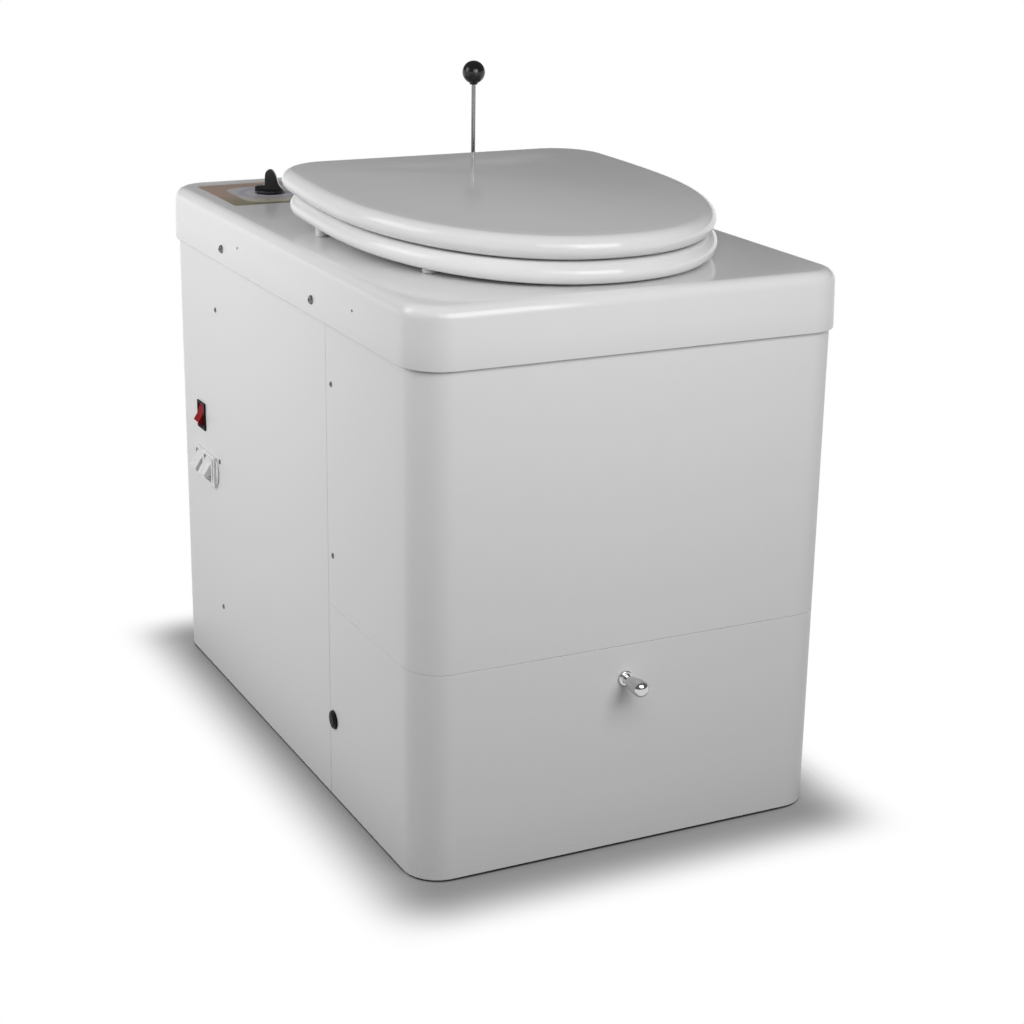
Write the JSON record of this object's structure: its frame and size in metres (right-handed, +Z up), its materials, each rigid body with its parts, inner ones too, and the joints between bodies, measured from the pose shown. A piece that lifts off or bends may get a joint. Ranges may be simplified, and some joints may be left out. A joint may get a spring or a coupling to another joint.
{
  "type": "incinerating toilet",
  "caption": "Floor-standing electric incinerating toilet with a sheet-metal casing, hinged seat and lid, trap lever and a pull-out ash drawer.",
  "frame": {"origin": "on the floor, under the middle of the casing's plan", "axes": "+X to the right of someone facing the toilet's front, +Y from its front to its rear, +Z up"},
  "size_m": [0.448, 0.7603, 0.6862],
  "materials": {
    "white_powder_coat": "smooth powder coat, satin",
    "gloss_white_moulding": "glossy moulding",
    "zinc_sheet": "zinc-plated sheet",
    "chrome_plate": "polished chrome",
    "stainless_steel": "brushed stainless steel",
    "heat_steel": "heat-darkened steel",
    "ceramic_fibre": "pressed ceramic fibre board",
    "black_plastic": "glossy black moulding",
    "red_plastic": "dark red translucent-looking moulding",
    "white_plastic": "satin moulding",
    "label_film": null,
    "clear_rubber": "pale rubber"
  },
  "bodies": {
    "root": {"upper_front_panel": "white_powder_coat", "left_side_panel": "white_powder_coat", "right_side_panel": "white_powder_coat", "rear_panel": "white_powder_coat", "top_cover": "gloss_white_moulding", "base_pan": "zinc_sheet", "front_post_left": "zinc_sheet", "front_post_right": "zinc_sheet", "rear_post_left": "zinc_sheet", "rear_post_right": "zinc_sheet", "lever_bracket": "zinc_sheet", "chamber_shelf": "zinc_sheet", "fan_housing": "zinc_sheet", "fan_motor": "zinc_sheet", "drawer_runner_left": "zinc_sheet", "drawer_runner_right": "zinc_sheet", "control_box": "zinc_sheet", "hinge_post_left": "chrome_plate", "hinge_post_right": "chrome_plate", "bowl": "stainless_steel", "lever_pivot_pin": "stainless_steel", "thermocouple": "stainless_steel", "flue_collar": "stainless_steel", "throat": "heat_steel", "combustion_chamber": "heat_steel", "heating_element": "heat_steel", "exhaust_duct": "heat_steel", "insulation_jacket": "ceramic_fibre", "lever_slot_trim": "black_plastic", "timer_body": "black_plastic", "power_switch_body": "black_plastic", "mains_inlet": "black_plastic", "breaker_block": "white_plastic", "control_label": "label_film", "seat_buffer_front_left": "clear_rubber", "seat_buffer_front_right": "clear_rubber", "seat_buffer_rear_left": "clear_rubber", "seat_buffer_rear_right": "clear_rubber"},
    "seat": {"seat_ring": "gloss_white_moulding", "seat_arm_left": "chrome_plate", "seat_arm_right": "chrome_plate"},
    "lid": {"seat_lid": "gloss_white_moulding", "lid_arm_left": "chrome_plate", "lid_arm_right": "chrome_plate"},
    "lever": {"lever_hub": "zinc_sheet", "lever_rod": "chrome_plate", "lever_ball": "black_plastic"},
    "link": {"link_bar": "zinc_sheet"},
    "flap": {"flap_shaft": "stainless_steel", "trap_flap": "stainless_steel"},
    "drawer": {"drawer_front": "white_powder_coat", "drawer_tray": "zinc_sheet", "ash_pan": "stainless_steel", "drawer_knob": "chrome_plate", "side_plug": "black_plastic"},
    "timer": {"timer_knob": "black_plastic"},
    "power": {"power_rocker": "red_plastic"},
    "toggle_front": {"breaker_toggle_front": "white_plastic"},
    "toggle_rear": {"breaker_toggle_rear": "white_plastic"},
    "fan": {"fan_impeller": "stainless_steel"}
  },
  "joints": [
    {"name": "seat_hinge", "type": "hinge", "parent": "root", "child": "seat", "pos_m": [-0.006, 0.1125, 0.586], "axis": [1, 0, 0], "range_deg": [-88, 0]},
    {"name": "lid_hinge", "type": "hinge", "parent": "seat", "child": "lid", "pos_m": [-0.006, 0.1125, 0.586], "axis": [-1, 0, 0], "range_deg": [0, 93]},
    {"name": "lever_pivot", "type": "hinge", "parent": "root", "child": "lever", "pos_m": [0.064, 0.145, 0.5], "axis": [0, 1, 0], "range_deg": [-32, 0], "stiffness_Nm_per_rad": 1, "springref_deg": 57.3},
    {"name": "link_slide", "type": "slide", "parent": "root", "child": "link", "axis": [0, 0, 1], "range_m": [-0.001, 0.018]},
    {"name": "flap_hinge", "type": "hinge", "parent": "root", "child": "flap", "pos_m": [0.062, -0.105, 0.3886], "axis": [0, 1, 0], "range_deg": [-80.5, 0.5]},
    {"name": "drawer_slide", "type": "slide", "parent": "root", "child": "drawer", "axis": [0, -1, 0], "range_m": [0, 0.36]},
    {"name": "timer_turn", "type": "hinge", "parent": "root", "child": "timer", "pos_m": [-0.134, 0.243, 0.5], "axis": [0, 0, -1], "range_deg": [0, 270]},
    {"name": "power_rock", "type": "hinge", "parent": "root", "child": "power", "pos_m": [-0.213, 0.251, 0.297], "axis": [0, 1, 0], "range_deg": [-28, 0]},
    {"name": "toggle_front_rock", "type": "hinge", "parent": "root", "child": "toggle_front", "pos_m": [-0.212, 0.2301, 0.2465], "axis": [0, 1, 0], "range_deg": [-25, 0]},
    {"name": "toggle_rear_rock", "type": "hinge", "parent": "root", "child": "toggle_rear", "pos_m": [-0.212, 0.2474, 0.2465], "axis": [0, 1, 0], "range_deg": [-25, 0]},
    {"name": "fan_spin", "type": "hinge", "parent": "root", "child": "fan", "pos_m": [0, 0.215, 0.285], "axis": [1, 0, 0], "continuous": true}
  ],
  "couplings": [
    {"joint": "link_slide", "follows": "lever_pivot", "m_per_rad": -0.0296},
    {"joint": "flap_hinge", "follows": "lever_pivot", "ratio": 2.5}
  ]
}
